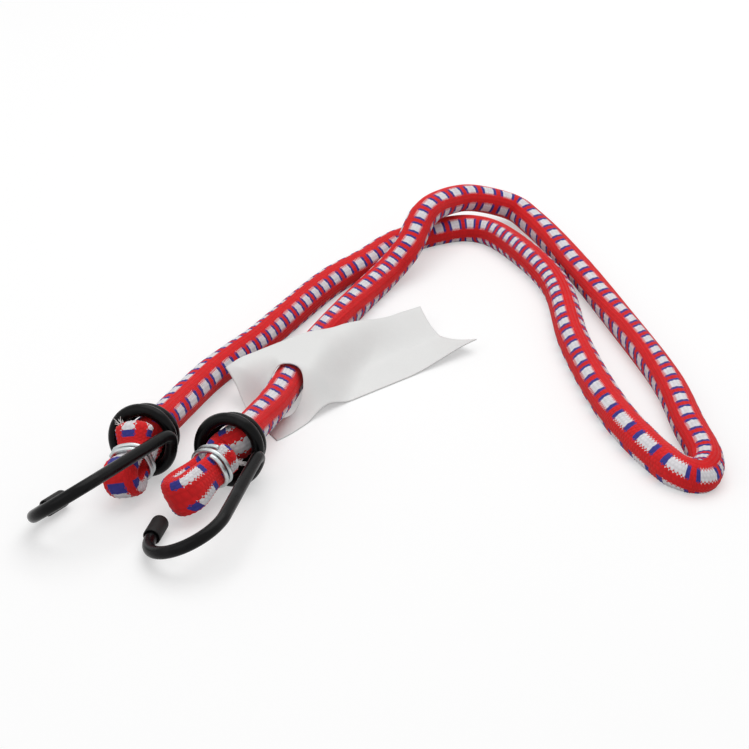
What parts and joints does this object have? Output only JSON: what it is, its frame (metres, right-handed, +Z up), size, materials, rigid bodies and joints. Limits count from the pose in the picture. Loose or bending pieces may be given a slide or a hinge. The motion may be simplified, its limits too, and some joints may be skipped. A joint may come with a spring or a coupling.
{
  "type": "bungee cord",
  "caption": "Elastic cord in a braided sheath with a coiled wire hook on each end, laid folded in a loop, with a blank hang tag threaded on it.",
  "frame": {"origin": "on the surface the cord lies on, under the middle of the box round the hooks, tails and tag", "axes": "+Z up; -Y the way the two hooks point; +X across, towards the folded loop"},
  "size_m": [0.2014, 0.2294, 0.0222],
  "materials": {
    "sheath": "matte braid",
    "core": "matte",
    "hook": "semi-gloss enamel",
    "cap": "matte vinyl",
    "clamp": "galvanised",
    "tag": "coated card"
  },
  "bodies": {
    "cord": {"loop_sheath": "sheath", "loop_core": "core", "left_leg_sheath": "sheath", "left_leg_core": "core", "right_leg_sheath": "sheath", "right_leg_core": "core"},
    "left_end": {"left_tail_sheath": "sheath", "left_tail_core": "core", "left_clamp": "clamp"},
    "right_end": {"right_tail_sheath": "sheath", "right_tail_core": "core", "right_clamp": "clamp"},
    "left_hook": {"left_hook": "hook", "left_tip_cap": "cap"},
    "right_hook": {"right_hook": "hook", "right_tip_cap": "cap"},
    "tag": {"tag": "tag"}
  },
  "joints": [
    {"name": "left_stretch", "type": "slide", "parent": "cord", "child": "left_end", "axis": [-0.3947, -0.9188, 0], "range_m": [0, 0.06], "stiffness_N_per_m": 1500, "deforming": ["left_leg_sheath", "left_leg_core"]},
    {"name": "right_stretch", "type": "slide", "parent": "cord", "child": "right_end", "axis": [-0.2863, -0.9581, 0], "range_m": [0, 0.06], "stiffness_N_per_m": 1500, "deforming": ["right_leg_sheath", "right_leg_core"]},
    {"name": "left_swivel", "type": "hinge", "parent": "left_end", "child": "left_hook", "pos_m": [-0.03676, -0.02166, 0.01175], "axis": [-0.3043, -0.9366, 0.1736], "range_deg": [-20, 85]},
    {"name": "right_swivel", "type": "hinge", "parent": "right_end", "child": "right_hook", "pos_m": [-0.01095, -0.02666, 0.01175], "axis": [-0.3368, -0.9254, 0.1736], "range_deg": [-70, 190]},
    {"name": "tag_flap", "type": "hinge", "parent": "cord", "child": "tag", "pos_m": [0.00345, 0.01734, 0.0059], "axis": [-0.251, -0.9649, 0.077], "range_deg": [0, 30]}
  ]
}
